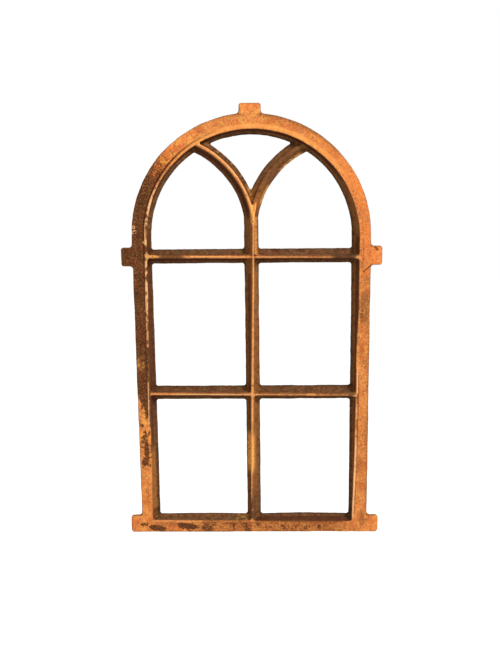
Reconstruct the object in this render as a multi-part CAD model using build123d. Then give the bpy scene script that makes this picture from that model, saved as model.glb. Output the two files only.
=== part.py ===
from build123d import *
from math import sqrt
import os

# An arched barn window, cast in one piece of grey iron: a round-headed frame with five
# wall lugs, a mullion, two cross bars and two curved tracery bars round seven lights.
# The glazing side is the front and faces -Y. Y = 0 is the rear face of the outer band,
# which bears on the wall, and the origin is on that face in the middle of the bottom rail.

# Driving dimensions, in millimetres.
body_width = 508            # across the outer edges of the stiles
spring_height = 676         # bottom edge up to the centre of the round head
datum_height = 10           # bottom edge up to the origin

# Widths of the frame members as seen from behind, out to the edge of each light.
stile_width = 39.5
crown_width = 45
rail_height = 34.5

# Width of the flat front of the frame, from the outer edge to the rim of the glazing pocket.
stile_front = 28.8
crown_front = 33.5
rail_front = 29

# Glazing bars: a flange behind, and a ridge that stands forward from it.
bar_width = 31
ridge_width = 6.5
upper_bar_drop = 47         # centre of the round head down to the middle of the upper bar

# The curved bars leave the mullion at the parting, and run up to the head.
tracery_radius = 203
tracery_centre_rise = 4.5   # centre of the curve above the centre of the round head
parting_rise = 39.3         # where the two curves cross, above the centre of the round head

# Depths, measured from the front of the ridges to the back of the flanges.
total_depth = 28
ridge_rise = 1.5            # ridges and bead stand this far in front of the outer band
band_thickness = 8
flange_edge = 4.5           # thickness of the flange at the edge of a light
flange_fall = 2             # how much thicker it is at the foot of the web
bead_width = 6.5            # raised bead round the inner edge of the frame's front
web_thickness = 7.5         # wall between the outer band and the flange
web_draft = 1.7             # how far a web spreads on each side from front to foot
back_draft = 1.5            # how far the outer side of the wall leans in towards the back
edge_draft = 0.5            # how far the edge of a light opens towards the front
bead_draft = 0.5            # how far the outer side of the bead leans in towards the front

# Lugs that are built into the wall.
lug_reach_top = 20
lug_reach_side = 24
lug_reach_bottom = 25
top_lug_width = 46
side_lug_width = 40
bottom_lug_width = 41
side_lug_drop = 44.5        # centre of the round head down to the middle of a side lug

# The ridge of the right-hand curved bar has broken off, down to a stump.
stump_height = 7            # what is left of the ridge, in front of the flange
break_rise = 69             # lower end of the break, above the centre of the round head

# Radii of the cast corners.
corner_radius = 5           # right-angled corners of the lights
point_radius = 2.5          # acute points of the arched lights
lug_corner_radius = 5
lug_root_radius = 7
edge_bevel = 1.2            # worn edges of the ridges and of the outer band

# Places worked out from the driving dimensions.
half_width = body_width / 2
band_front = -band_thickness
ridge_front = band_front - ridge_rise
back = ridge_front + total_depth
edge_depth = back - flange_edge
foot_depth = edge_depth - flange_fall
upper_bar_height = spring_height - upper_bar_drop
row_height = (upper_bar_height - rail_height - 1.5 * bar_width) / 2     # both rows are equal
lower_bar_height = rail_height + row_height + bar_width / 2
side_lug_height = spring_height - side_lug_drop
tracery_centre = spring_height + tracery_centre_rise
parting_height = spring_height + parting_rise
tracery_reach = sqrt(tracery_radius**2 - (parting_rise - tracery_centre_rise)**2)
overrun = 1                 # how far a cutting shape runs past the face that it opens
tolerance = 1e-4            # points nearer together than this are the same point
bluntest_corner = 150       # degrees: an outline with a wider angle than this runs on smoothly
sharpest_corner = 75        # degrees: a sharper angle than this is a point


def at_depth(depth):
    """The upright plane at this Y, seen from the front."""
    return Plane.XZ.offset(-depth)


def arch(stile=0, crown=0, rail=0):
    """The round-headed outline, drawn in from the outer edge by these widths."""
    radius = half_width - stile
    spring = spring_height - crown + stile
    left, right = -radius, radius
    outline = (
        Line((left, rail), (right, rail))
        + Line((right, rail), (right, spring))
        + ThreePointArc((right, spring), (0, spring + radius), (left, spring))
        + Line((left, spring), (left, rail))
    )
    return make_face(outline)


def bars(width):
    """All the glazing bars at one width, across the whole frame."""
    bar_grid = Pos(0, parting_height / 2) * Rectangle(width, parting_height)
    for height in (upper_bar_height, lower_bar_height):
        bar_grid += Pos(0, height) * Rectangle(body_width, width)
    ring = Circle(tracery_radius + width / 2) - Circle(tracery_radius - width / 2)
    above_and_left = Pos(-body_width, body_width) * Rectangle(2 * body_width, 2 * body_width)
    curve = (Pos(-tracery_reach, 0) * ring) & above_and_left
    curve = Pos(0, tracery_centre) * curve
    return bar_grid + curve + curve.mirror(Plane.YZ)


def angle_inside(face, corner):
    """The angle between the two edges that meet at a corner of a face, in degrees."""
    away = []
    for edge in face.edges():
        if (edge @ 0 - corner.center()).length < tolerance:
            away.append(edge % 0)
        elif (edge @ 1 - corner.center()).length < tolerance:
            away.append(-(edge % 1))
    return away[0].get_angle(away[1])


def rounded(face):
    """A light with its corners and points rounded as they are cast."""
    points, corners = [], []
    for vertex in face.vertices():
        angle = angle_inside(face, vertex)
        if angle < sharpest_corner:
            points.append(vertex)
        elif angle < bluntest_corner:
            corners.append(vertex)
    face = face.fillet_2d(point_radius, points)
    return face.fillet_2d(corner_radius, corners)


def light_outlines(stile, crown, rail, bar):
    """The outlines of the left-hand lights from the bottom up, then the one in the middle."""
    panes = (arch(stile, crown, rail) - bars(bar)).faces()
    left = [pane for pane in panes if pane.center().X < -tolerance]
    left.sort(key=lambda pane: pane.center().Y)
    middle = [pane for pane in panes if abs(pane.center().X) < tolerance]
    return [rounded(pane) for pane in left + middle]


def rims(spread):
    """Outlines of the lights along the webs, which spread on each side of a ridge by this."""
    return light_outlines(
        stile_front + spread,
        crown_front + spread,
        rail_front + spread,
        ridge_width + 2 * spread,
    )


def ledges(opened):
    """Outlines of the lights along the ledges, opened by this on each side."""
    return light_outlines(
        stile_width - opened,
        crown_width - opened,
        rail_height - opened,
        bar_width - 2 * opened,
    )


def glazing_pockets():
    """The space of each light: a pocket with leaning webs, a falling ledge and the light itself."""
    levels = (
        (ridge_front - overrun, rims(-edge_bevel)),
        (ridge_front, rims(-edge_bevel)),
        (ridge_front + edge_bevel, rims(0)),
        (foot_depth, rims(web_draft)),
        (edge_depth, ledges(edge_draft)),
        (back, ledges(0)),
        (back + overrun, ledges(0)),
    )
    pockets = []
    for number, rear_outline in enumerate(ledges(0)):
        sections = [at_depth(depth) * outlines[number] for depth, outlines in levels]
        pocket = loft(sections, ruled=True)
        pockets.append(pocket)
        if rear_outline.center().X < -tolerance:
            pockets.append(pocket.mirror(Plane.YZ))
    return pockets


def lost_ridge():
    """The space of the ridge that is gone from the right-hand curved bar."""
    reach = ridge_width / 2 + web_draft + overrun
    curve = Circle(tracery_radius + reach) - Circle(tracery_radius - reach)
    curve = Pos(tracery_reach, tracery_centre) * curve
    lower_end = spring_height + break_rise
    beyond = Pos(half_width, lower_end + half_width) * Rectangle(body_width, body_width)
    sections = []
    for depth, spread in ((ridge_front - overrun, 0), (foot_depth - stump_height, web_draft)):
        rim = arch(stile_front + spread, crown_front + spread, rail_front + spread)
        sections.append(at_depth(depth) * (curve & beyond & rim).face())
    return loft(sections, ruled=True)


def outer_band():
    """The flat outer band with its five lugs, which is seen from the front."""
    top_lug_height = half_width + lug_reach_top
    lugs = Pos(0, spring_height + top_lug_height / 2) * Rectangle(top_lug_width, top_lug_height)
    side_length = body_width + 2 * lug_reach_side
    lugs += Pos(0, side_lug_height) * Rectangle(side_length, side_lug_width)
    bottom_length = body_width + 2 * lug_reach_bottom
    lugs += Pos(0, bottom_lug_width / 2) * Rectangle(bottom_length, bottom_lug_width)
    outline = (arch() + lugs).face()
    tips, roots = [], []
    for corner in outline.vertices():
        past_side = abs(corner.X) > half_width + tolerance
        past_crown = corner.Y > spring_height + half_width + tolerance
        if past_side or past_crown:
            tips.append(corner)
        elif angle_inside(outline, corner) < bluntest_corner:
            roots.append(corner)
    outline = outline.fillet_2d(lug_root_radius, roots)
    tips = [outline.vertices().sort_by_distance(tip)[0] for tip in tips]
    outline = outline.fillet_2d(lug_corner_radius, tips)
    band = extrude(at_depth(0) * outline, band_thickness)
    return chamfer(band.edges().filter_by(Axis.Y, reverse=True), edge_bevel)


def leaning_plate(depth, inset, lean, far_depth):
    """A plate inside the outer edge, whose sides lean in by a draft between two depths."""
    sections = []
    for level, drawn_in in ((depth, inset), (far_depth, inset - lean)):
        outline = arch(stile_front - drawn_in, crown_front - drawn_in, rail_front - drawn_in)
        sections.append(at_depth(level) * outline)
    return loft(sections, ruled=True)


def window_casting():
    """The whole casting."""
    bead = leaning_plate(band_front, bead_width, bead_draft, ridge_front)
    middle = leaning_plate(band_front, web_thickness, 0, 0)
    wall = leaning_plate(0, web_thickness, back_draft, back)
    casting = outer_band() + bead + middle + wall
    for pocket in glazing_pockets():
        casting -= pocket
    casting -= lost_ridge()
    return Pos(0, 0, -datum_height) * casting


os.makedirs("parts", exist_ok=True)
export_step(window_casting(), "parts/window_casting.step")
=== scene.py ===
import math

import bmesh
import bpy
import numpy as np
from mathutils import Matrix, Vector


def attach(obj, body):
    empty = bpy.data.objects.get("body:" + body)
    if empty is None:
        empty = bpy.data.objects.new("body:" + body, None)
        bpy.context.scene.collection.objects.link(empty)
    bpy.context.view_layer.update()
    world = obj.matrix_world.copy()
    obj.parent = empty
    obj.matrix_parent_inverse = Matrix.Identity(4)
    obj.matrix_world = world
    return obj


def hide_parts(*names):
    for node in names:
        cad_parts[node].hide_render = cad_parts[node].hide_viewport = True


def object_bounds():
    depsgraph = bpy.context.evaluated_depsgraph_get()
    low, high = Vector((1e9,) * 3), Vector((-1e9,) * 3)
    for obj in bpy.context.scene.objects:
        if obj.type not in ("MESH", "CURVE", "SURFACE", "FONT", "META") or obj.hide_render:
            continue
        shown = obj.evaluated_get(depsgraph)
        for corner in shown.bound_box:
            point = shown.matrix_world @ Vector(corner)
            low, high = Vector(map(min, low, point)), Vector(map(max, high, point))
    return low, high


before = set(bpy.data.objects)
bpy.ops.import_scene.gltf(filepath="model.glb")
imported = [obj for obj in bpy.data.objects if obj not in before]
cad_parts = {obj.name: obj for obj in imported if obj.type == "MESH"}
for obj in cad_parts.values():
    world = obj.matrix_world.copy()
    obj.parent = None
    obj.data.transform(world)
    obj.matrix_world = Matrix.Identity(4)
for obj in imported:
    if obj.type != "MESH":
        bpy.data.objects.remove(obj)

# A round-headed barn window, sand cast in one piece of grey iron and long rusted. The CAD
# casting gives the sizes. Here it gets what the sand and the weather gave it: softened
# edges, a front that was laid crooked in the mould, wavy faces, pits, and its rust.
# Heights, widths and depths below are in millimetres in the row frame, as the CAD has them:
# X to the right, Y to the back and Z up from the datum in the bottom rail.
MM = 0.001

cad_low, cad_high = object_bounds()

# The casting's own sizes, which tell one face of it from another.
BODY_HALF_WIDTH = 254
BOTTOM_EDGE = -10
TOP_EDGE = 940
HEAD_CENTRE = 666           # height of the centre of the round head
RIDGE_FRONT = -9.5          # the foremost plane, of the ridges and the bead
FLANGE_FRONT = 12
UPPER_BAR = 619
LOWER_BAR = 314
BAR_HALF_WIDTH = 15
PARTING = 705               # height at which the two curved bars leave the mullion
TRACERY_CENTRE = 200        # how far from the middle the curved bars are centred
TRACERY_RISE = 670.5
TRACERY_RADIUS = 203
RIM_RADIUS = 225.2          # the rim of the glazing pockets, along the stiles and the head
RIM_CENTRE = 661.3
RAIL_RIM = 19
SIDE_LUG = 621.5            # height of its middle
SIDE_LUG_HALF_HEIGHT = 20
SIDE_LUG_REACH = 278
BOTTOM_LUG_TOP = 31
BOTTOM_LUG_REACH = 279
TOP_LUG_HALF_WIDTH = 23
TOP_LUG_FOOT = 880
BARS = ("mullion", "upper", "lower", "left_curve", "right_curve")
RIDGED_BARS = BARS[:4]      # the right-hand curved bar has lost its ridge

# The front is laid crooked: it leans to the right by a share of the height above a level
# where it doesn't, and drops towards the right.
LEAN_SHARE = 0.0155
LEAN_LEVEL = 370
LEAN_RANGE = (-6, 4.8)
DROP_IN_THE_MIDDLE = 1.5
DROP_SHARE = 0.011
STILE_LEAN = (60, 0, 150, 1.7, 320, 1.7, 400, 0, 430, 0.6, 485, 2.6, 540, 2.6, 640, 1.0, 700, 0)
RAIL_DROP = (-200, 3.6, 100, 3.2, 200, 2.5)

# What sand, wear and weather have taken off or put on.
CREST_ROUNDING = 1.3
WORN_BEAD = -8.1            # the bead is worn back to here, level with the band
GROOVE_DEPTH = 1.3
SCRATCH_DEPTH = 1.1
PIT_DEPTH = 2.6
FLAKE_THICKNESS = 0.5
LUG_ROUNDING = 6
RAIL_SWELL = (-225, 0.6, -95, 2.2, -30, 0.6, 20, 0.6, 60, 2.2, 108, 3.2, 190, 1.2, 225, 0.6)

# The mesh of the visible casting.
WELD = 0.002
VOXEL, QUICK_VOXEL = 1.3, 2.0
STEP_ROUNDS = 2             # of evening out, to take the voxels' steps off
COVE_ROUNDS = 9             # to hollow the feet of the webs
REAR = 15                   # the mesh is thinned more behind this depth
FRONT_THINNING = 0.6
THINNING_FACTOR = 0.00001   # small, as it is weighed against distances squared, in metres
MOST_TRIANGLES = 190000

FLOOR_HEIGHT = -0.9         # metres
FLOOR_SIZE = 16
PICTURE_WIDTH, PICTURE_HEIGHT = 500, 667
CAMERA_PLACE = (44.7, -2115.8, 949.3)
CAMERA_DOWN, CAMERA_TURN, CAMERA_ROLL = 13.242, -1.338, 0.663    # degrees

# Numbers that scatter the corners of a grid of random values, and half the range they fill.
SCATTER = (73856093, 19349663, 83492791)
SEED_SCATTER = 2654435761
STIR = 1274126177
HALF_RANGE = 0x7FFFF


def linear(hex_colour):
    """An sRGB hex colour as the linear colour that the shader takes."""
    channels = []
    for start in (1, 3, 5):
        value = int(hex_colour[start:start + 2], 16) / 255
        channels.append(value / 12.92 if value <= 0.04045 else ((value + 0.055) / 1.055) ** 2.4)
    return (*channels, 1)


# ---------------------------------------------------------------- shape of the casting

def ease(value, start, end):
    """0 before start, 1 after end and a smooth rise between; start may be the larger."""
    part = np.clip((value - start) / (end - start), 0, 1)
    return part * part * (3 - 2 * part)


def near(value, middle, half_width, soft):
    """1 within half a width of the middle, and 0 beyond that and the soft edge."""
    return 1 - ease(np.abs(value - middle), half_width, half_width + soft)


def graded(value, *stops):
    """A value that runs straight from each stop, a place and its value, to the next."""
    return np.interp(value, stops[0::2], stops[1::2])


def most(*masks):
    """The largest of the masks at each point."""
    return np.maximum.reduce(masks)


def of(part, *names):
    """These values of every point, by name."""
    return [part[name] for name in names]


def lumps(points, size, seed):
    """Smooth random lumps from -1 to 1, about this many millimetres across."""
    cell = points / size
    corner = np.floor(cell).astype(np.int64)
    within = cell - corner
    within = within * within * (3 - 2 * within)
    total = np.zeros(len(points))
    for dx in (0, 1):
        for dy in (0, 1):
            for dz in (0, 1):
                x, y, z = (corner + (dx, dy, dz)).T
                mixed = (x * SCATTER[0]) ^ (y * SCATTER[1]) ^ (z * SCATTER[2])
                mixed = mixed ^ (seed * SEED_SCATTER)
                mixed = (mixed ^ (mixed >> 13)) * STIR
                mixed = (mixed ^ (mixed >> 16)) & (2 * HALF_RANGE + 1)
                share = np.ones(len(points))
                for axis, side in enumerate((dx, dy, dz)):
                    share *= within[:, axis] if side else 1 - within[:, axis]
                total += share * (mixed / HALF_RANGE - 1)
    return total


def inset(across, up):
    """How far a point lies inside the outer edge of the round-headed body."""
    beside = BODY_HALF_WIDTH - np.where(
        up > HEAD_CENTRE, np.hypot(across, up - HEAD_CENTRE), np.abs(across)
    )
    return np.minimum(beside, up - BOTTOM_EDGE)


def outline(across, up):
    """How far a point lies inside the outer edge, with the lugs."""
    beside = np.abs(across)
    side_lug = np.minimum(SIDE_LUG_REACH - beside, SIDE_LUG_HALF_HEIGHT - np.abs(up - SIDE_LUG))
    bottom_lug = np.minimum(
        BOTTOM_LUG_REACH - beside, np.minimum(BOTTOM_LUG_TOP - up, up - BOTTOM_EDGE)
    )
    top_lug = np.minimum(TOP_LUG_HALF_WIDTH - beside, np.minimum(TOP_EDGE - up, up - TOP_LUG_FOOT))
    return np.maximum.reduce((inset(across, up), side_lug, bottom_lug, top_lug))


def pocket(across, up):
    """How far a point lies inside the rim that runs round the lights: less than 0 in front."""
    beside = RIM_RADIUS - np.where(
        up > RIM_CENTRE, np.hypot(across, up - RIM_CENTRE), np.abs(across)
    )
    return np.minimum(beside, up - RAIL_RIM)


def off_curve(across, up, side):
    """How far a point lies outside the middle line of the left (-1) or right (1) curved bar."""
    return np.hypot(across - side * TRACERY_CENTRE, up - TRACERY_RISE) - TRACERY_RADIUS


def patch(part, at, size, tilt=0):
    """A soft oval patch at a place on the front, of this width and height. It is whole to
    0.6 of the way out and gone at 1.3."""
    along, over = part["across"] - at[0], part["up"] - at[1]
    turn = math.radians(tilt)
    length = along * math.cos(turn) + over * math.sin(turn)
    breadth = over * math.cos(turn) - along * math.sin(turn)
    return 1 - ease(np.hypot(length / (size[0] / 2), breadth / (size[1] / 2)), 0.6, 1.3)


def circle(part, at, radius, half_width, soft):
    """A soft ring about a place on the front, or a dot where the radius is 0."""
    return near(np.hypot(part["across"] - at[0], part["up"] - at[1]), radius, half_width, soft)


def members(place):
    """Where each point is in the casting: its places along and off each member, and the
    members that it belongs to, as masks from 0 to 1."""
    across, depth, up = place.T
    part = {"across": across, "depth": depth, "up": up}
    part["edge"] = outline(across, up)
    part["rim"] = rim = pocket(across, up)
    # 0 degrees is at the right-hand springing of the head and all down the right-hand
    # stile, and 180 at the left.
    part["angle"] = angle = np.where(
        up > RIM_CENTRE, np.degrees(np.arctan2(up - RIM_CENTRE, across)), 180.0 * (across < 0)
    )
    part["head"] = ease(up, RIM_CENTRE - 5, RIM_CENTRE + 5)
    part["left"] = ease(across, 0, -20)
    part["right"] = 1 - part["left"]
    # The way up a stile and on round the head, from either side.
    turned = np.where(across < 0, 180 - angle, angle)
    part["way"] = np.where(up > RIM_CENTRE, RIM_CENTRE + RIM_RADIUS * np.radians(turned), up)
    # The way up the right-hand curved bar, in degrees from its springing.
    part["turn"] = np.degrees(np.arctan2(up - TRACERY_RISE, TRACERY_CENTRE - across))
    within = ease(rim, 0.3, 1.6)
    above = ease(up, PARTING - 12, PARTING + 12)
    lines = {
        "mullion": (across, 1 - above),
        "upper": (up - UPPER_BAR, 1),
        "lower": (up - LOWER_BAR, 1),
        "left_curve": (off_curve(across, up, -1), above * (1 - ease(across, 2, 8))),
        "right_curve": (off_curve(across, up, 1), above * ease(across, -8, -2)),
    }
    for name, (off, where) in lines.items():
        part[name + "_off"] = off
        part[name] = near(off, 0, BAR_HALF_WIDTH, 2) * where * within
    # The face of the band and all before it, the ridges and the bead that stand proud of it,
    # and what lies behind, in the shelter of the band.
    part["front"] = ease(depth, -6.6, -7.8)
    part["proud"] = ease(depth, -6.5, -8.6)
    part["sheltered"] = ease(depth, -8.6, -6.4) * ease(rim, -1.6, 0.4)
    return part


def applied(piece, name, kind, **settings):
    """Applies a modifier to the mesh of the piece."""
    modifier = piece.modifiers.new(name, kind)
    for setting, value in settings.items():
        setattr(modifier, setting, value)
    piece_now = piece.evaluated_get(bpy.context.evaluated_depsgraph_get())
    mesh = bpy.data.meshes.new_from_object(piece_now)
    piece.modifiers.clear()
    old = piece.data
    piece.data = mesh
    bpy.data.meshes.remove(old)


def read(mesh, values="vertices", what="co"):
    """The places of a mesh's points, or another value of three numbers."""
    found = np.empty(len(getattr(mesh, values)) * 3)
    getattr(mesh, values).foreach_get(what, found)
    return found.reshape(-1, 3)


def write(mesh, place):
    """Puts the points of a mesh at these places, in millimetres."""
    mesh.vertices.foreach_set("co", (place * MM).ravel())
    mesh.update()


def closed_copy(node):
    """The node's mesh with the corners of its faces joined up, as a new piece."""
    shell = bmesh.new()
    shell.from_mesh(node.data)
    bmesh.ops.remove_doubles(shell, verts=shell.verts, dist=WELD * MM)
    mesh = bpy.data.meshes.new("rusted_casting")
    shell.to_mesh(mesh)
    shell.free()
    piece = bpy.data.objects.new("rusted_casting", mesh)
    bpy.context.scene.collection.objects.link(piece)
    return piece


def settled(mesh, place, rounds, share=1, swell=0.5):
    """Evens out small steps and softens edges and corners, by this share at each point.
    Each round pulls the points together and then, by swell, part of the way back."""
    place = place.copy()
    edges = np.empty(len(mesh.edges) * 2, np.int64)
    mesh.edges.foreach_get("vertices", edges)
    first, second = edges.reshape(-1, 2).T
    count = np.bincount(first, minlength=len(place)) + np.bincount(second, minlength=len(place))
    share = np.broadcast_to(share, len(place))[:, None]
    for number in range(2 * rounds):
        total = np.zeros_like(place)
        for axis in range(3):
            total[:, axis] = (
                np.bincount(first, place[second, axis], len(place))
                + np.bincount(second, place[first, axis], len(place))
            )
        pull = 0.5 if number % 2 == 0 else -swell
        place += pull * share * (total / count[:, None] - place)
    return place


def sculpted(mesh, place, part):
    """The casting as the pattern maker's hands and the years left it: coved feet to the
    webs, rounded crests, a worn bead, and a few knocks."""
    across, depth, up, rim, left, right = of(part, "across", "depth", "up", "rim", "left", "right")
    # The feet of the webs are where they meet the flanges, 5 mm off the middle of a bar and
    # 2 mm inside the rim, and the stump of the broken ridge is softened with them.
    feet = np.zeros(len(place))
    crest = np.zeros(len(place))
    for name in BARS:
        off = np.abs(part[name + "_off"])
        feet = most(feet, part[name] * near(off, 5, 3, 2))
        crest = most(crest, part[name] * ease(off, 0.5, 3.3) * near(off, 0, 4.5, 1))
    feet = most(feet, near(rim, 2, 2.5, 2) * (part["edge"] > 20)) * near(depth, 11, 3.5, 3)
    stump = part["right_curve"] * near(part["right_curve_off"], 0, 7, 2)
    stump = stump * ease(depth, 2, 5) * ease(up, 730, 740)
    place = settled(mesh, place, COVE_ROUNDS, np.clip(feet + stump, 0, 1), swell=0)
    place[:, 1] += CREST_ROUNDING * crest * part["proud"]

    # The bead has all but gone from the right side above the lower bar, from the foot of the
    # left stile and from most of the rail.
    gone = right * ease(part["angle"], 78, 60) * ease(up, 365, 385)
    gone = most(gone, left * ease(up, 245, 215), 0.8 * ease(up, 24, 20))
    worn = gone * near(rim, -4, 3.6, 0.8) * ease(depth, -7.9, WORN_BEAD)
    place[:, 1] += worn * np.clip(WORN_BEAD - place[:, 1], 0, 2)
    place[:, 1] += (
        GROOVE_DEPTH * part["groove"] + SCRATCH_DEPTH * part["scratch"] + PIT_DEPTH * part["pit"]
    )
    place[:, 1] -= FLAKE_THICKNESS * part["flake"]
    round_lugs(place)

    # The flange along the rail is uneven, and swells up in the middle of either light.
    on_rail = ease(inset(across, up), 30.5, 34) * near(up, 25, 5, 3)
    place[:, 2] += graded(across, *RAIL_SWELL) * on_rail * ease(depth, 6, 10)
    return place


def round_lugs(place):
    """Rounds the corners of the bottom lugs, as they came out of the sand."""
    for side in (-1, 1):
        for corner_up, inward in ((BOTTOM_EDGE, 1), (BOTTOM_LUG_TOP, -1)):
            centre = (side * (BOTTOM_LUG_REACH - LUG_ROUNDING), corner_up + LUG_ROUNDING * inward)
            beyond = place[:, ::2] - centre
            out = np.clip(beyond * (side, -inward), 0, None)
            squeeze = out.max(axis=1) / np.maximum(np.hypot(*out.T), 1e-6)
            squeeze = np.where(out.min(axis=1) > 0, squeeze, 1)[:, None]
            place[:, ::2] = np.where(squeeze < 1, centre + beyond * squeeze, place[:, ::2])


def laid_crooked(place):
    """The front of the casting, turned a little against its back as the two halves of the
    mould were closed. The flanges and the outer edge stay where they are."""
    across, depth, up = place.T
    grip = np.clip((FLANGE_FRONT - depth) / (FLANGE_FRONT - RIDGE_FRONT), 0, 1)
    body = inset(across, up)
    grip *= ease(body, 16, 21) * np.where(depth > 0.5, ease(body, 23, 25), 1)
    lean = np.clip(LEAN_SHARE * (up - LEAN_LEVEL), *LEAN_RANGE)
    drop = DROP_IN_THE_MIDDLE - DROP_SHARE * across
    # The bar without a ridge, and the right-hand stile, went their own way.
    right_curve = ease(across, 2, 22) * (1 - ease(body, 50, 36)) * ease(up, 700, 730)
    lean = lean * (1 - right_curve) - 1.2 * right_curve
    lean += graded(up, *STILE_LEAN) * ease(across, 150, 215)
    drop = drop * (1 - right_curve) + 1.6 * right_curve
    drop -= graded(across, *RAIL_DROP) * near(up, 20, 4, 9)
    moved = place.copy()
    moved[:, 0] += grip * lean
    moved[:, 2] += grip * drop
    return moved


def write_inside(mesh, place):
    """Writes the places to the mesh, held within the box of the CAD casting."""
    write(mesh, np.clip(place, np.array(cad_low) / MM, np.array(cad_high) / MM))


def cast_casting():
    """The casting as it left the sand, and as rust has left it: wavy, grainy and pitted."""
    piece = closed_copy(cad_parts["window_casting"])
    voxel = VOXEL
    applied(piece, "fine", "REMESH", mode="VOXEL", voxel_size=voxel * MM)
    mesh = piece.data
    place = settled(mesh, read(mesh) / MM, STEP_ROUNDS)
    part = members(place)
    weathering_and_painted_light(mesh, place, part)
    place = laid_crooked(sculpted(mesh, place, part))
    write(mesh, place)
    normals = read(mesh, "vertices", "normal")

    # How high each kind of unevenness is, how wide its lumps are, and its seed.
    wave = 0.45 * lumps(place, 38, 1) + 0.28 * lumps(place, 17, 2)
    grain = 0.17 * lumps(place, 6, 3) + 0.16 * lumps(place, 3, 4)
    pits = ease(lumps(place, 4.5, 5), 0.35, 0.8)
    out = wave + grain - 0.3 * pits
    write_inside(mesh, place + normals * (out - 0.1)[:, None])

    # The front keeps more of its detail than the back when the mesh is thinned.
    coarse = piece.vertex_groups.new(name="coarse")
    coarse.add(np.flatnonzero(place[:, 1] > REAR).tolist(), 1.0, "REPLACE")
    coarse.add(np.flatnonzero(place[:, 1] <= REAR).tolist(), FRONT_THINNING, "REPLACE")
    triangles = sum(len(face.vertices) - 2 for face in mesh.polygons)
    if triangles > MOST_TRIANGLES:
        applied(piece, "thin", "DECIMATE", ratio=MOST_TRIANGLES / triangles,
                vertex_group="coarse", vertex_group_factor=THINNING_FACTOR)
    write_inside(piece.data, read(piece.data) / MM)
    piece.data.shade_smooth()
    return piece


# ---------------------------------------------------------------- where the rust is what, and where light and shade are painted

# Where a value changes along a member, it is written as pairs: a place in millimetres, and
# the value there. Masks run from 0 to 1, and a strength over 1 widens the part that is 1.

# The patches of dark skin: place, width and height, tilt in degrees, and strength.
DARK_PATCHES = (
    ((-247, 244), (12, 13), 20, 0.5),     # across the golden tongue
    ((-240, 216), (22, 18), 30, 0.5),
    ((-236, 180), (15, 74), 3, 0.8),      # beside the bead, running down
    ((-244, 185), (26, 76), 0, 0.32),
    ((-249, 9), (22, 9), 0, 0.75),        # along the bottom rail, from the left
    ((-220, 0), (42, 14), -8, 1.1),
    ((-152, 4), (50, 14), -5, 1.1),
    ((-108, 0), (40, 13), 0, 0.22),
    ((-96, 15), (46, 11), 0, 0.5),
    ((-120, -7), (240, 5), 0, 0.3),
    ((-70, 3), (26, 10), 0, 0.26),
    ((-8, 7), (34, 8), 0, 0.22),
    ((28, 0), (36, 12), 0, 0.4),
    ((64, 5), (10, 9), 0, 0.95),
    ((108, 3), (60, 12), 0, 0.5),
    ((146, 3), (12, 9), 30, 0.9),
    ((176, -4), (50, 7), 0, 0.5),
    ((235, 486), (16, 30), 0, 0.5),       # on the right stile, below its lug
    ((266, 636), (13, 8), -30, 0.75),     # a corner of the right-hand lug
)

# The dull patches: place, width and height, and strength. Then how dull the whole right side
# is, and how much redder it is at the shoulder, both by height.
DULL_PATCHES = (
    ((238, 150), (16, 50), 0.5),          # up the right stile
    ((250, 226), (11, 100), 0.75),
    ((250, 452), (11, 60), 0.6),
    ((243, 510), (40, 80), 0.95),
    ((232, 540), (10, 40), 0.5),
    ((-60, 4), (170, 60), 0.6),           # along the rail
    ((-190, 10), (70, 14), 0.5),
)
DULL_RIGHT = (40, 0.1, 90, 0.3, 500, 0.24, 700, 0.1, 760, 0)
RUDDY_RIGHT = (560, 0, 610, 0.8, 640, 0.8, 670, 1, 800, 1, 850, 0.4, 900, 0)

# The crest of each ridge where it is rubbed bright: which way the ridge runs, and along it
# how far the crest lies off the middle line, half its width, and how much of it is rubbed.
CRESTS = {
    "mullion": (
        "up",
        (100, -0.6, 300, -0.4, 400, 0.2, 560, 0.9, 640, 0.4),
        (66, 0.2, 110, 0.9, 150, 1.5, 200, 1.9, 245, 1.9, 330, 1.8, 400, 1.9, 470, 1.5,
         560, 0.9, 600, 0.5, 680, 0.3, 720, 2.2),
        (58, 0, 80, 0.9, 150, 0.95, 250, 1, 330, 0.9, 400, 0.85, 530, 0.85, 560, 1,
         640, 0.95, 715, 1),
    ),
    "upper": (
        "across",
        (-40, -1.0, 0, 0.0),
        (-150, 0.5, -134, 2.4, -50, 2.2, -30, 1.1, 0, 0.6, 20, 0.4, 165, 0.2),
        (-205, 0.8, -198, 0.05, -152, 0.1, -138, 1, -30, 1, -8, 0.75, 20, 0.9, 110, 0.85,
         140, 0.4, 150, 0.8, 166, 0.6, 172, 0),
    ),
    "lower": (
        "across",
        (-40, -0.6, 0, 0.1),
        (-203, 1.5, -60, 1.0, 0, 0.7, 20, 0.4, 118, 0.5, 124, 2.0, 134, 2.0, 142, 0.2,
         207, 0.2),
        (-203, 0.9, 0, 0.75, 100, 0.8, 207, 0.65, 210, 0),
    ),
}

# How orange the rust is beside the crests, along each ridge.
SHOULDERS = {
    "mullion": ("up", (62, 0, 86, 0.35, 150, 0.6, 240, 0.9, 400, 0.8, 470, 0.35, 640, 0.25,
                       700, 0.8)),
    "upper": ("across", (-200, 0.8, -194, 0.2, -154, 0.25, -142, 0.95, -20, 0.85, 20, 0.5,
                         140, 0.35, 172, 0.1, 180, 0)),
    "lower": ("across", (-200, 0.95, 0, 0.7, 20, 0.45, 205, 0.35, 212, 0)),
    "left_curve": ("up", (PARTING, 0.9)),
}

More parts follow.
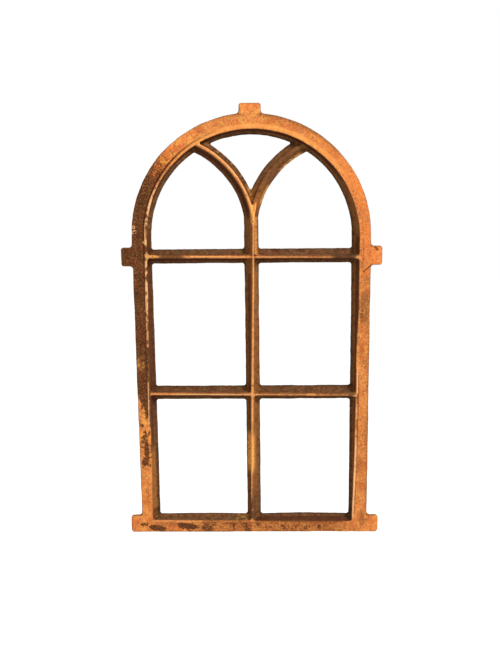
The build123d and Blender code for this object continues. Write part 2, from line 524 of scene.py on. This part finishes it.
# The bead on the left, along the way up the stile and round the head: how readily it has
# flaked off, half the width of what is left, how bright it is and where it is brightest.
BEAD_FLAKING = (340, 0.3, 400, 0.05, 470, -0.45, 590, -0.75, 640, -0.3, 690, -0.6, 760, -0.8,
                1000, -1.4)
BEAD_HALF_WIDTH = (230, 0.6, 335, 0.6, 400, 1.2, 450, 1.7, 560, 2.3, 640, 1.6, 700, 2.2,
                   800, 1.4, 1000, 1.1)
BEAD_SHARE = (225, 0, 235, 0.9, 337, 0.9, 345, 0.8, 460, 0.85, 560, 1, 740, 0.9, 840, 0.5,
              1015, 0.3)
BEAD_BRIGHT = (340, 1, 400, 0.45, 640, 0.5, 680, 0.9, 730, 0.9, 790, 0)

# The thin bright line that is left of the bead on the right.
LINE_AT = (230, -3.1, 370, -3.1, 380, -1.9)
LINE_HALF_WIDTH = (200, 1.7, 240, 1.0, 370, 0.9, 380, 0.4)
LINE_SHARE = (22, 0, 30, 0.8, 60, 1, 370, 1, 385, 0.6, 780, 0.55, 900, 0.2)

# How much painted light, as a lighter brown, the sides get, up the mullion and up the right stile.
LIT_MULLION = (60, 0.1, 120, 0.3, 300, 0.42, 560, 0.7, 640, 0.5)
LIT_RIGHT = (28, 0, 40, 0.7, 250, 0.6, 400, 0.45)

# The dark lines along the bars, most of them painted shadow cast by the ridges on the
# flanges: where they are off the middle line, half their width, and their strength.
BAR_SHADOWS_AND_SEAMS = (
    ("upper", -6.2, 1.8, 0.9),
    ("lower", -6.2, 1.8, 0.9),
    ("mullion", -5.8, 1.6, 0.55),
    ("left_curve", -6.5, 2.2, 0.8),
    ("left_curve", 5.6, 1.0, 0.5),
    ("right_curve", -9, 2.0, 0.3),
    ("right_curve", 11, 1.6, 0.2),
)

# Small marks on the front.
SCRATCH_START = (235.6, 584)
SCRATCH_RUN = (16.8, 15)
LOWER_CURLS = ((8, 311), (224, 308.5))
UPPER_CROSSING = (1, 618.5)
CROSSING_PIT = (2.4, 620.5)
PARTING_PIT = (-1.2, 693.5)

NO_BAR = 99                 # stands for the distance to a bar, away from all of them


def keep(mesh, name, values):
    """Stores a mask on the mesh for the material to read."""
    mask = mesh.attributes.new(name, "FLOAT", "POINT")
    mask.data.foreach_set("value", np.clip(values, 0, 1).astype(np.float32))


def dark_skin(place, part):
    """The dark skin that the iron kept. It covers the left side from the shoulder down to
    the lower bar, runs on below that in tongues, and lies in blotches along the rail."""
    across, up, lump, crumb, left = of(part, "across", "up", "lump", "crumb", "left")
    dark = left * ease(part["angle"], 123, 160) * ease(part["rim"], 20, 10)
    dark = dark * ease(up + 2.6 * (across + 247), 290, 310)
    dark *= np.where(up > 100, 1, 0)
    dark -= 0.35 * patch(part, (-245, 386), (20, 32))
    streaks = lumps(place * (1, 1, 0.4), 6, 24) + 0.6 * crumb
    tongue = left * near(across, -237, 10, 5) * near(up, 218, 66, 20)
    dark = most(dark, tongue * ease(streaks, -0.05, 0.4))
    blotched = 0.72 * (near(across, -58, 100, 20) * near(up, 0, 12, 6))
    dark = most(dark, blotched * ease(lumps(place, 15, 25) + 0.5 * lump, -0.1, 0.5))
    blotched = 0.38 * near(across, 96, 120, 20) * near(up, 2, 12, 6)
    dark = most(dark, blotched * ease(lumps(place, 13, 26) + 0.5 * lump, 0.1, 0.6))
    for at, size, tilt, strength in DARK_PATCHES:
        dark = most(dark, strength * patch(part, at, size, tilt))
    return most(dark, 0.12 * ease(up, 16, 10) * near(across, 60, 150, 30))


def dulled(place, part):
    """Where weather has dulled the orange: the outer edge over the top and down the right,
    patches of the right stile and the rail, and clouds down the right."""
    across, up, edge, head, right = of(part, "across", "up", "edge", "head", "right")
    dull = head * ease(edge, 11, 2) * near(part["angle"], 72, 20, 18)
    dull = most(dull, 0.8 * ease(edge, 8, 1) * right * ease(up, 600, 430) * ease(up, 30, 60))
    dull = most(dull, 0.25 * head * near(part["angle"], 78, 34, 10) * ease(part["rim"], -8, -14))
    dull = most(dull, right * graded(up, *DULL_RIGHT))
    for at, size, strength in DULL_PATCHES:
        dull = most(dull, strength * patch(part, at, size))
    dull = most(dull, 0.62 * patch(part, (108, 4), (230, 60)) * ease(up, 22, 18))
    clouded = ease(lumps(place * (1, 1, 0.6), 11, 27) + 0.4 * part["lump"], 0.1, 0.7)
    clouded = 0.75 * right * (clouded * ease(edge, 26, 18))
    dull = most(dull, clouded * near(up, 290, 270, 40) * ease(across, 150, 200))
    return dull * ease(inset(across, up), -0.5, 0.5)


def rubbed_ridges(part):
    """The crests of the ridges, rubbed bright."""
    crests = [part["left_curve"] * near(part["left_curve_off"], 0.5, 3.0, 1.5)]
    for name, (along, middle, half_width, share) in CRESTS.items():
        way = part[along]
        crest = part[name] * near(
            part[name + "_off"], graded(way, *middle), graded(way, *half_width), 1.4
        )
        crest = crest * graded(way, *share)
        if name == "mullion":
            dashes = near(part["mullion_off"], 0.3, 0.3, 0.9) * near(part["up"], 222, 26, 6)
            crest *= 1 - 0.8 * (dashes * ease(part["crumb"], -0.5, 0))
        crests.append(crest)
    return most(*crests) * part["proud"]


def rubbed_and_highlit(part):
    """The crests of the ridges and of the bead, worn bright, with a painted highlight at the
    right-hand end of the upper bar; and the brightest of them.
    """
    across, up, way, rim, front = of(part, "across", "up", "way", "rim", "front")
    lump, crumb, fine = of(part, "lump", "crumb", "fine")

    # The bead is left in flakes down the left, and in a thin line down the right.
    flaking = graded(way, *BEAD_FLAKING)
    flakes = ease(lump + 0.6 * crumb, flaking, flaking + 0.25)
    strip = near(rim, -3.3, graded(way, *BEAD_HALF_WIDTH), 1.2)
    strip *= part["left"] * graded(way, *BEAD_SHARE) * (1 - near(way, 632, 6, 4))
    strip *= np.where(way < 340, 1, flakes) * ease(part["angle"], 96, 116)
    right_line = near(rim, graded(up, *LINE_AT), graded(up, *LINE_HALF_WIDTH), 1.1)
    right_line = part["right"] * right_line * graded(way, *LINE_SHARE)
    rail_line = 0.6 * near(up, 16.4, 0.8, 1.0) * near(across, -169, 55, 4)
    bead = most(strip, right_line, rail_line)

    # A ring and two curls of flaked skin stand just above the left-hand lug, and the lower
    # bar has a curl at its crossing and one at its right-hand end.
    curls = circle(part, (-248, 675), 3.6, 0.5, 0.8) * (fine > -0.5)
    curls = most(curls, circle(part, (-249, 686), 2.6, 0.4, 0.8) * (fine > -0.2))
    part["flake"] = most(circle(part, (-230, 650), 2.6, 0.6, 0.9), curls) * front
    crossing, right_end = LOWER_CURLS
    curled = most(circle(part, crossing, 3.4, 0.6, 0.9), circle(part, right_end, 4.2, 0.7, 0.9))

    crest = most(rubbed_ridges(part), bead * front * ease(rim, 1.5, -0.2), part["flake"])
    crest = most(crest, curled * ease(part["depth"], 1, -4))
    # Bright spots: a painted highlight where the end of the upper bar's ridge catches the light
    # on the right, where the left-hand curved bar meets the head, and the foot of the mullion.
    crest = most(crest, 0.9 * patch(part, (221.5, 617.5), (8, 10)) * ease(part["depth"], -3, -6))
    crest = most(crest, 0.7 * patch(part, (-103, 871), (7, 4), 20) * front)
    crest = most(crest, 0.8 * patch(part, (-0.5, 20), (8, 7)))
    crest = most(crest, 0.6 * patch(part, (1.6, 42.5), (4, 4)))

    bright = most(0.55 * right_line * ease(up, 400, 370), strip * graded(way, *BEAD_BRIGHT))
    bright = most(bright, rail_line) * front
    thin = 0.8 * part["lower"] * near(part["lower_off"], -0.6, 0.5, 0.9)
    thin = thin * ease(across, 10, -20) * ease(across, -190, -150)
    return crest, most(bright, thin, 0.8 * part["flake"], 0.6 * curled)


def shoulders(part):
    """The orange brown rust beside the crests."""
    shoulder = np.zeros(len(part["up"]))
    for name, (along, strength) in SHOULDERS.items():
        beside = graded(part[along], *strength) * part[name]
        shoulder = most(shoulder, beside * near(part[name + "_off"], 0, 3.4, 1.2))
    return shoulder * ease(part["depth"], -4.5, -7.5) * ease(part["rim"], 0.5, 2)


def golden(part, dark):
    """Where the rust is gold: on the mullion, where the curved bars part, at the left end of
    the upper bar, and along some edges of the flanges; and a painted highlight in gold over
    the top of the bead."""
    across, depth, up, mullion = of(part, "across", "depth", "up", "mullion")
    lump, crumb, fine, front = of(part, "lump", "crumb", "fine", "front")
    gold = near(up, 177, 30, 24) * near(across, -4.5, 7, 3) * mullion
    gold = most(gold, 0.8 * near(up, 713, 16, 12) * near(across, 1.5, 5, 3) * ease(depth, 2, -4))
    flare = near(part["upper_off"], 0, np.clip(9 - 0.36 * (across + 227), 0.5, 9), 1.5)
    flare = 0.85 * (flare * near(across, -214, 12, 3))
    gold = most(gold, flare * ease(depth, -4, -7))
    rail_edge = 0.5 * near(up, 22, 2, 1.5) * near(across, -24, 10, 6)
    gold = most(gold, rail_edge * ease(crumb, -0.2, 0.2))
    gold = most(gold, 0.45 * patch(part, (-245, 386), (20, 34)) * front * ease(fine, 0.05, 0.3))
    flecks = 0.5 * part["left"] * near(up, 225, 70, 25) * ease(part["rim"], 0, -3)
    flecks = flecks * ease(fine, 0.0, 0.25)
    gold = most(gold, flecks * (1 - ease(dark, 0.25, 0.6)))
    # Painted highlight: a pale gold over the top of the bead, where the head looks up to the light.
    over_top = 0.5 * part["head"] * near(part["rim"], -5.5, 2.6, 5)
    gold = most(gold, over_top * near(part["angle"], 82, 34, 24) * front)
    beside = 0.55 * mullion * near(across, 7, 4.5, 2.5) * near(up, 662, 36, 12)
    gold = most(gold, beside * (depth > -7))
    beside = 0.2 * near(across, -5, 3, 2) * mullion * near(up, 640, 55, 8)
    gold = most(gold, beside * (depth > -6))
    chips = 0.5 * near(part["left_curve_off"], 12.5, 1.8, 1.2) * part["left_curve"]
    gold = most(gold, chips * ease(lump + 0.5 * crumb, -0.1, 0.3))
    streaks = most(near(part["turn"], 25, 5, 3), near(part["turn"], 52, 7, 3))
    streaks = 0.5 * (near(part["right_curve_off"], -13, 1.3, 1.2) * streaks)
    return most(gold, streaks * part["right_curve"])


def lit_sides(part):
    """Painted light: a lighter brown on the sides in the pockets that look to the light, and on
    some that lie in shade.
    """
    across, up, rim = of(part, "across", "up", "rim")
    head, left, right, turn = of(part, "head", "left", "right", "turn")
    mullion, curve, off = of(part, "mullion", "left_curve", "left_curve_off")
    return most(
        mullion * near(across, 8, 5, 3) * graded(up, *LIT_MULLION),
        mullion * near(across, 4.6, 1.5, 1.5) * graded(up, 60, 0.2, 120, 0.45, 300, 0.6),
        0.5 * mullion * near(across, -8, 6, 3) * ease(across, 0, -3),
        0.95 * curve * near(off, -4.2, 1.2, 1.5) * ease(part["depth"], 3, -3),
        0.2 * curve * ease(off, -4, -7),
        graded(turn, 20, 0.7, 34, 0.15) * part["right_curve"],
        right * (1 - head) * near(rim, 2.0, 1.6, 1.2) * graded(up, *LIT_RIGHT),
        0.5 * right * near(rim, 2.6, 2.4, 1.6) * ease(up, 400, 450) * ease(up, 800, 740),
        0.35 * head * near(rim, 5, 2.5, 2) * near(part["angle"], 45, 30, 10),
        0.85 * left * near(up, 92, 80, 26) * near(rim, 1.4, 1.2, 2.8) * (up > RAIL_RIM + 3),
    )


def lip_shade_and_bare_ends(part):
    """Painted shade on the edges of the flanges round every light and along the rail, and the
    darker ends of the bars that were never worn bright."""
    across, up, way, upper = of(part, "across", "up", "way", "upper")
    off_bars = np.full(len(up), float(NO_BAR))
    for name in BARS:
        off = np.where(part[name] > 0.4, np.abs(part[name + "_off"]), NO_BAR)
        off_bars = np.minimum(off_bars, off)
    on_bar = off_bars < NO_BAR / 2
    lip_shade = ease(off_bars, 12.6, 14.6) * on_bar
    start = graded(way, 40, 8.2, 700, 8.2, 1015, 7.2) - 3.5 * part["left"] * ease(up, 230, 170)
    lip_shade = most(lip_shade, ease(part["rim"], start, 10.5) * ~on_bar * (up > 34))
    lip_shade = most(lip_shade, ease(up, 22.2, 24) * near(up, 24, 3, 2) * ~on_bar)
    lip_shade = most(lip_shade, ease(up, 28.5, 31) * (up < 42) * ~on_bar)
    bare = most(upper * near(across, -174, 20, 6), upper * ease(across, 164, 169),
                0.7 * part["mullion"] * ease(up, 84, 64)) * near(off_bars, 0, 4, 1.5)
    return most(lip_shade * part["sheltered"], 0.7 * bare)


def seams_and_shadows(part):
    """The dark red lines, most of them painted shadow and shade: under the cross bars and the
    head, beside the ridges, along the inner edges of the stiles and along the rail, at the feet
    of the webs, and in the groove, the scratch, the pits and the hollows of the curls; and a
    few dots and a nick. The groove, the scratch and the pits are cut into the faces too."""
    across, depth, up, rim, way = of(part, "across", "depth", "up", "rim", "way")
    head, left, right, front = of(part, "head", "left", "right", "front")
    groove = left * near(rim, -7.6, 0.8, 1.0) * graded(way, 450, 0, 560, 0.35, 640, 0.6, 700, 1)
    part["groove"] = groove * ease(part["angle"], 104, 114) * front
    lower_groove = right * near(rim, -5.6, 0.7, 1.2) * ease(up, 375, 350) * ease(up, 25, 40) * front

    along, over = across - SCRATCH_START[0], up - SCRATCH_START[1]
    run, rise = SCRATCH_RUN
    scratch_way = (along * run + over * rise) / (run ** 2 + rise ** 2)
    scratch_off = np.abs(along * rise - over * run) / np.hypot(run, rise)
    scratch = near(scratch_off, 0, 0.6, 1.0) * near(scratch_way, 0.5, 0.5, 0.12)
    part["scratch"] = scratch * front

    pits = most(circle(part, CROSSING_PIT, 0, 1.4, 1.8), circle(part, PARTING_PIT, 0, 1.0, 1.5))
    part["pit"] = pits * part["proud"]
    ringed = circle(part, UPPER_CROSSING, 5.5, 1.6, 1.5) * ease(depth, -4, -7)
    crossing, right_end = LOWER_CURLS
    hollow = most(circle(part, crossing, 0, 1.4, 1.4), circle(part, right_end, 0, 1.8, 1.4))
    hollow = hollow * ease(depth, 1, -4)
    seam_and_shadow = most(part["groove"], part["scratch"], part["pit"], hollow, 0.75 * lower_groove,
                0.7 * ringed)

    # Painted shadow, cast by the ridges on the flanges beside them.
    for name, middle, half_width, strength in BAR_SHADOWS_AND_SEAMS:
        line = strength * part[name] * near(part[name + "_off"], middle, half_width, 1.5)
        seam_and_shadow = most(seam_and_shadow, line * ease(depth, -7.5, -5.5))
    # Painted shade under the head, along the inner edges of the stiles, and deep in the left-hand
    # pockets at the feet of the webs.
    under_head = head * near(rim, 1.2, 1.6, 1.2) * near(part["angle"], 100, 55, 20)
    seam_and_shadow = most(seam_and_shadow, under_head * ease(depth, -8, -6))
    stile = 0.7 * near(rim, 0.6, 0.8, 0.8) * (1 - head) * ease(depth, -8, -6)
    seam_and_shadow = most(seam_and_shadow, stile * ease(up - 240 * left, -70, -20))
    pocketed = near(rim, 4.5, 3.5, 2) * ease(depth, 2, 8) * ease(up, 200, 300) * ease(up, 700, 640)
    dots = right * near(rim, -4.2, 0.8, 1.0) * ease(up, 375, 390)
    dots = dots * ease(part["crumb"], 0.15, 0.5) * front
    rail_top = 0.6 * right * near(up, 18, 2.2, 1.2) * near(across, 110, 96, 12)
    nick = 0.8 * patch(part, (-98, 865), (9, 2.5), -20) * front
    return most(seam_and_shadow, 0.55 * left * pocketed, rail_top, 0.6 * dots, nick)


def sheltered(part):
    """The rebates, and the ridges as far as they aren't rubbed: rain doesn't reach these."""
    ridges = np.zeros(len(part["up"]))
    for name in RIDGED_BARS:
        ridges = most(ridges, part[name] * near(part[name + "_off"], 0, 4.2, 1))
    return most(part["sheltered"], ridges * ease(part["rim"], 0.3, 2.2))


def weathering_and_painted_light(mesh, place, part):
    """Finds where the rust is of which kind, and where light and shade are painted into it, and
    stores it as masks for the material.
    """
    part["lump"] = lumps(place, 9, 21)
    part["crumb"] = lumps(place, 4.5, 22)
    part["fine"] = lumps(place, 2.8, 23)
    dark = dark_skin(place, part)
    keep(mesh, "dark_skin", dark)
    keep(mesh, "dull", dulled(place, part))
    # Painted shade along the outer edges, where the sides of the casting turn from the light.
    keep(mesh, "edge_shade", ease(part["edge"], 2.4, 0.5))
    keep(mesh, "ruddy", part["right"] * graded(part["up"], *RUDDY_RIGHT))
    # The worn crests, with a painted highlight at the right-hand end of the upper bar.
    crest, bright = rubbed_and_highlit(part)
    keep(mesh, "crest", crest)
    keep(mesh, "bright", bright)
    keep(mesh, "shoulder", shoulders(part))
    # Gold rust, with a painted highlight over the top of the bead.
    keep(mesh, "gold", golden(part, dark))
    # Painted light on the sides of the pockets.
    keep(mesh, "lit", lit_sides(part))
    # Painted shade on the flange edges round the openings, and the unworn ends of the bars.
    keep(mesh, "lip_shade", lip_shade_and_bare_ends(part))
    # Painted shadow and shade, in dark red lines.
    keep(mesh, "seam_and_shadow", seams_and_shadows(part))
    keep(mesh, "sheltered", sheltered(part))


# ---------------------------------------------------------------- finish

def node(tree, kind, inputs=None, **settings):
    """Adds a node with its settings, and fills its sockets with values or with links."""
    made = tree.nodes.new("ShaderNode" + kind)
    for name, value in settings.items():
        setattr(made, name, value)
    for name, value in (inputs or {}).items():
        if isinstance(value, bpy.types.NodeSocket):
            tree.links.new(value, made.inputs[name])
        else:
            made.inputs[name].default_value = value
    return made


def rusted_cast_iron():
    """Sand-cast grey iron, rusted. The sand leaves an even grain, drawn here at 2 mm because
    its own half millimetre is too fine to show. The rust is matt and powdery: orange where
    rain reaches it, a dark brown skin where it was left alone, darker still in the rebates,
    and rubbed to a pale peach along the crests. Light and shade are painted into its colour
    too: a lighter brown on sides that look to the light, dark red shadow and shade beside the
    ridges and in the grooves, darker outer edges and flange edges, and highlights at the end of
    the upper bar and over the top of the bead."""
    material = bpy.data.materials.new("rusted_cast_iron")
    material.use_nodes = True
    tree = material.node_tree
    shader = tree.nodes["Principled BSDF"]
    place = node(tree, "TexCoord").outputs["Object"]

    def noise(size, detail=3.0, roughness=0.6, shift=0):
        """Cloudy noise whose lumps are this many millimetres across."""
        moved = place
        if shift:
            moved = node(tree, "VectorMath", {0: place, 1: (shift, shift, shift)},
                         operation="ADD").outputs[0]
        made = node(tree, "TexNoise", {"Vector": moved, "Scale": 1 / (size * MM),
                                       "Detail": detail, "Roughness": roughness})
        return made.outputs["Fac"]

    def mask(name):
        return node(tree, "Attribute", attribute_name=name).outputs["Fac"]

    def math_of(operation, first, second):
        return node(tree, "Math", {0: first, 1: second}, operation=operation).outputs[0]

    def rise(value, start, end):
        made = node(tree, "MapRange", {"Value": value, "From Min": start, "From Max": end},
                    interpolation_type="SMOOTHSTEP")
        return made.outputs["Result"]

    def part_of(share, value):
        return math_of("MULTIPLY", value, share)

    def mixed(share, under, over):
        made = node(tree, "MixRGB", {"Fac": share, "Color1": under, "Color2": over})
        return made.outputs["Color"]

    # The patterns of the rust, from clouds as wide as the band to the grain of the sand.
    cloud = noise(34, 4)
    tint = noise(15, 3, 0.6, shift=0.4)
    mottle = noise(11, 4, 0.65)
    blotch = noise(6.5, 3, 0.65, shift=0.9)
    speck = noise(4.0, 3, 0.7)
    grit = noise(2.3, 2, 0.7)
    dust = noise(1.9, 1, 0.6, shift=0.7)

    orange = mixed(rise(cloud, 0.38, 0.60), linear("#D87636"), linear("#F4984C"))
    orange = mixed(part_of(0.65, rise(tint, 0.50, 0.64)), orange, linear("#F6AC4C"))
    orange = mixed(part_of(0.70, rise(blotch, 0.50, 0.64)), orange, linear("#D9652A"))
    orange = mixed(part_of(0.65, mask("ruddy")), orange, linear("#DC7434"))
    orange = mixed(part_of(0.70, rise(mottle, 0.52, 0.68)), orange, linear("#C27C4A"))
    orange = mixed(part_of(0.40, rise(speck, 0.54, 0.66)), orange, linear("#9C4C1C"))
    orange = mixed(part_of(0.55, rise(grit, 0.54, 0.68)), orange, linear("#FFC082"))
    orange = mixed(part_of(0.55, rise(dust, 0.54, 0.68)), orange, linear("#A85620"))

    # Between the orange and the dark skin the rust is tan.
    tan = mixed(rise(mottle, 0.40, 0.62), linear("#80451C"), linear("#A6602C"))
    tan = mixed(part_of(0.70, rise(speck, 0.52, 0.66)), tan, linear("#582C12"))
    tan = mixed(part_of(0.60, rise(grit, 0.54, 0.68)), tan, linear("#C97E3C"))

    brown = mixed(rise(cloud, 0.38, 0.62), linear("#44240E"), linear("#5B3214"))
    brown = mixed(part_of(0.60, rise(tint, 0.50, 0.66)), brown, linear("#5A421E"))
    brown = mixed(part_of(0.65, rise(blotch, 0.50, 0.66)), brown, linear("#783212"))
    brown = mixed(part_of(0.65, rise(speck, 0.54, 0.66)), brown, linear("#985E34"))
    brown = mixed(part_of(0.85, rise(grit, 0.53, 0.66)), brown, linear("#34180A"))
    brown = mixed(part_of(0.75, rise(dust, 0.55, 0.68)), brown, linear("#A87246"))

    weathered = math_of("MULTIPLY", mask("dull"), rise(speck, 0.26, 0.56))
    orange = mixed(weathered, orange, linear("#8A562E"))

    # The noise breaks up the edges of the dark skin.
    wander = part_of(1.3, math_of("SUBTRACT", mottle, 0.5))
    crumble = part_of(2.2, math_of("SUBTRACT", speck, 0.5))
    grain = part_of(1.4, math_of("SUBTRACT", grit, 0.5))
    loose = math_of("ADD", math_of("ADD", wander, crumble), grain)
    darkness = math_of("ADD", mask("dark_skin"), loose)
    skin = mixed(rise(darkness, 0.26, 0.50), orange, tan)
    skin = mixed(rise(darkness, 0.46, 0.74), skin, brown)
    # Painted shade: the outer edges are darkened where the sides of the casting turn from the
    # light.
    skin = mixed(part_of(0.7, mask("edge_shade")), skin, linear("#6A4020"))

    rebate = mixed(rise(mottle, 0.38, 0.64), linear("#56341F"), linear("#7C5232"))
    rebate = mixed(part_of(0.6, rise(tint, 0.48, 0.64)), rebate, linear("#66502C"))
    rebate = mixed(part_of(0.6, rise(blotch, 0.50, 0.66)), rebate, linear("#70391A"))
    rebate = mixed(part_of(0.6, rise(speck, 0.55, 0.68)), rebate, linear("#A06C3C"))
    rebate = mixed(part_of(0.5, rise(grit, 0.55, 0.68)), rebate, linear("#38200E"))
    # Painted light: a lighter brown on the sides of the pockets that look to the light, and on some
    # shaded ones.
    lit = math_of("MULTIPLY", mask("lit"), rise(mottle, 0.25, 0.5))
    rebate = mixed(lit, rebate, linear("#A0642E"))
    skin = mixed(mask("sheltered"), skin, rebate)
    # Painted shade on the flange edges round the openings and along the rail, and the darker unworn
    # ends of the bars.
    skin = mixed(part_of(0.65, mask("lip_shade")), skin, linear("#3A2412"))

    side = mixed(rise(blotch, 0.42, 0.62), linear("#B86C30"), linear("#8C4C20"))
    skin = mixed(math_of("MULTIPLY", mask("shoulder"), rise(speck, 0.25, 0.5)), skin, side)
    # Painted shadow and shade: dark red under and beside the ridges, under the head, and in the
    # grooves and pits.
    seam_and_shadow = math_of("MULTIPLY", mask("seam_and_shadow"), rise(speck, 0.2, 0.45))
    skin = mixed(seam_and_shadow, skin, linear("#4A2008"))

    peach = mixed(rise(speck, 0.4, 0.65), linear("#E08E50"), linear("#F6AA6A"))
    peach = mixed(part_of(0.5, rise(tint, 0.46, 0.62)), peach, linear("#F8B25C"))
    peach = mixed(mask("bright"), peach, linear("#FFCC94"))
    # The crests worn to peach, with a painted highlight at the right-hand end of the upper bar.
    rub_and_highlight = math_of("MULTIPLY", mask("crest"), rise(mottle, 0.26, 0.42))
    skin = mixed(rub_and_highlight, skin, peach)
    # Gold rust, with a painted highlight over the top of the bead.
    gold = math_of("MULTIPLY", mask("gold"), rise(speck, 0.30, 0.52))
    skin = mixed(gold, skin, linear("#F4AA58"))

    tree.links.new(skin, shader.inputs["Base Color"])
    shader.inputs["Roughness"].default_value = 0.9
    shader.inputs["Specular IOR Level"].default_value = 0.15
    height = math_of("ADD", part_of(0.55, speck), part_of(0.45, grit))
    bump = node(tree, "Bump", {"Height": height, "Strength": 0.45, "Distance": 1.2 * MM})
    tree.links.new(bump.outputs["Normal"], shader.inputs["Normal"])
    return material


# ---------------------------------------------------------------- studio

def lamp(name, place, aim, size, power):
    """A round soft lamp, turned to what it is aimed at."""
    light = bpy.data.lights.new(name, "AREA")
    light.shape = "DISK"
    light.size = size
    light.energy = power
    holder = bpy.data.objects.new(name, light)
    bpy.context.scene.collection.objects.link(holder)
    holder.location = place
    holder.rotation_euler = (Vector(aim) - Vector(place)).to_track_quat("-Z", "Y").to_euler()


def background_seen(tree):
    """1 for a ray that the background shows white to: seen straight, mirrored or through glass."""
    path = node(tree, "LightPath")
    seen = path.outputs["Is Camera Ray"]
    for ray in ("Is Glossy Ray", "Is Transmission Ray"):
        seen = node(tree, "Math", {0: seen, 1: path.outputs[ray]}, operation="MAXIMUM").outputs[0]
    return seen


def studio():
    """Soft light from all round, a key lamp high on the right, and a white background."""
    scene = bpy.context.scene
    scene.view_settings.view_transform = "Standard"
    world = bpy.data.worlds.new("studio")
    scene.world = world
    world.use_nodes = True
    tree = world.node_tree
    tree.nodes.clear()
    soft = node(tree, "Background", {"Color": linear("#FFFFFF"), "Strength": 0.55})
    white = node(tree, "Background", {"Color": linear("#FFFFFF"), "Strength": 1.0})
    mixed = node(tree, "MixShader",
                 {0: background_seen(tree), 1: soft.outputs[0], 2: white.outputs[0]})
    node(tree, "OutputWorld", {"Surface": mixed.outputs[0]})
    lamp("key", place=(1.9, -2.0, 2.4), aim=(0, 0, 0.45), size=0.9, power=98)


def pale_floor():
    """A plain pale floor. To the camera it is as white as the backdrop, and it still shows
    the shadow."""
    material = bpy.data.materials.new("pale_floor")
    material.use_nodes = True
    tree = material.node_tree
    tree.nodes.clear()
    pale = node(tree, "BsdfDiffuse", {"Color": linear("#E6E6E6")})
    white = node(tree, "Emission", {"Color": linear("#FFFFFF"), "Strength": 0.6})
    none = node(tree, "Emission", {"Strength": 0.0})
    added = node(tree, "MixShader",
                 {0: background_seen(tree), 1: none.outputs[0], 2: white.outputs[0]})
    both = node(tree, "AddShader", {0: pale.outputs[0], 1: added.outputs[0]})
    node(tree, "OutputMaterial", {"Surface": both.outputs[0]})
    return material


def ground():
    """The floor, well below the window, as the window hangs."""
    shell = bmesh.new()
    bmesh.ops.create_grid(shell, x_segments=1, y_segments=1, size=FLOOR_SIZE / 2)
    mesh = bpy.data.meshes.new("floor")
    shell.to_mesh(mesh)
    shell.free()
    mesh.materials.append(pale_floor())
    floor = bpy.data.objects.new("floor", mesh)
    bpy.context.scene.collection.objects.link(floor)
    floor.location = (0, 0, FLOOR_HEIGHT)


def view():
    """The camera where the photograph was taken from, looking down 13 degrees."""
    scene = bpy.context.scene
    camera = bpy.data.cameras.new("camera")
    # As far from the sensor as the picture is wide, twice over. The sensor's 36 mm are the
    # height of the picture.
    camera.lens = 36 * 2 * PICTURE_WIDTH / PICTURE_HEIGHT
    holder = bpy.data.objects.new("camera", camera)
    scene.collection.objects.link(holder)
    down, turn, roll = (math.radians(angle) for angle in (CAMERA_DOWN, CAMERA_TURN, CAMERA_ROLL))
    ahead = Vector((
        math.sin(turn) * math.cos(down), math.cos(turn) * math.cos(down), -math.sin(down)
    ))
    level = Vector((math.cos(turn), -math.sin(turn), 0))
    below = ahead.cross(level)
    right = level * math.cos(roll) + below * math.sin(roll)
    under = below * math.cos(roll) - level * math.sin(roll)
    pose = Matrix((right, -under, -ahead)).transposed().to_4x4()
    pose.translation = Vector(CAMERA_PLACE) * MM
    holder.matrix_world = pose
    scene.camera = holder


casting = cast_casting()
casting.data.materials.clear()
casting.data.materials.append(rusted_cast_iron())
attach(casting, "root")
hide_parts("window_casting")

studio()
ground()
view()
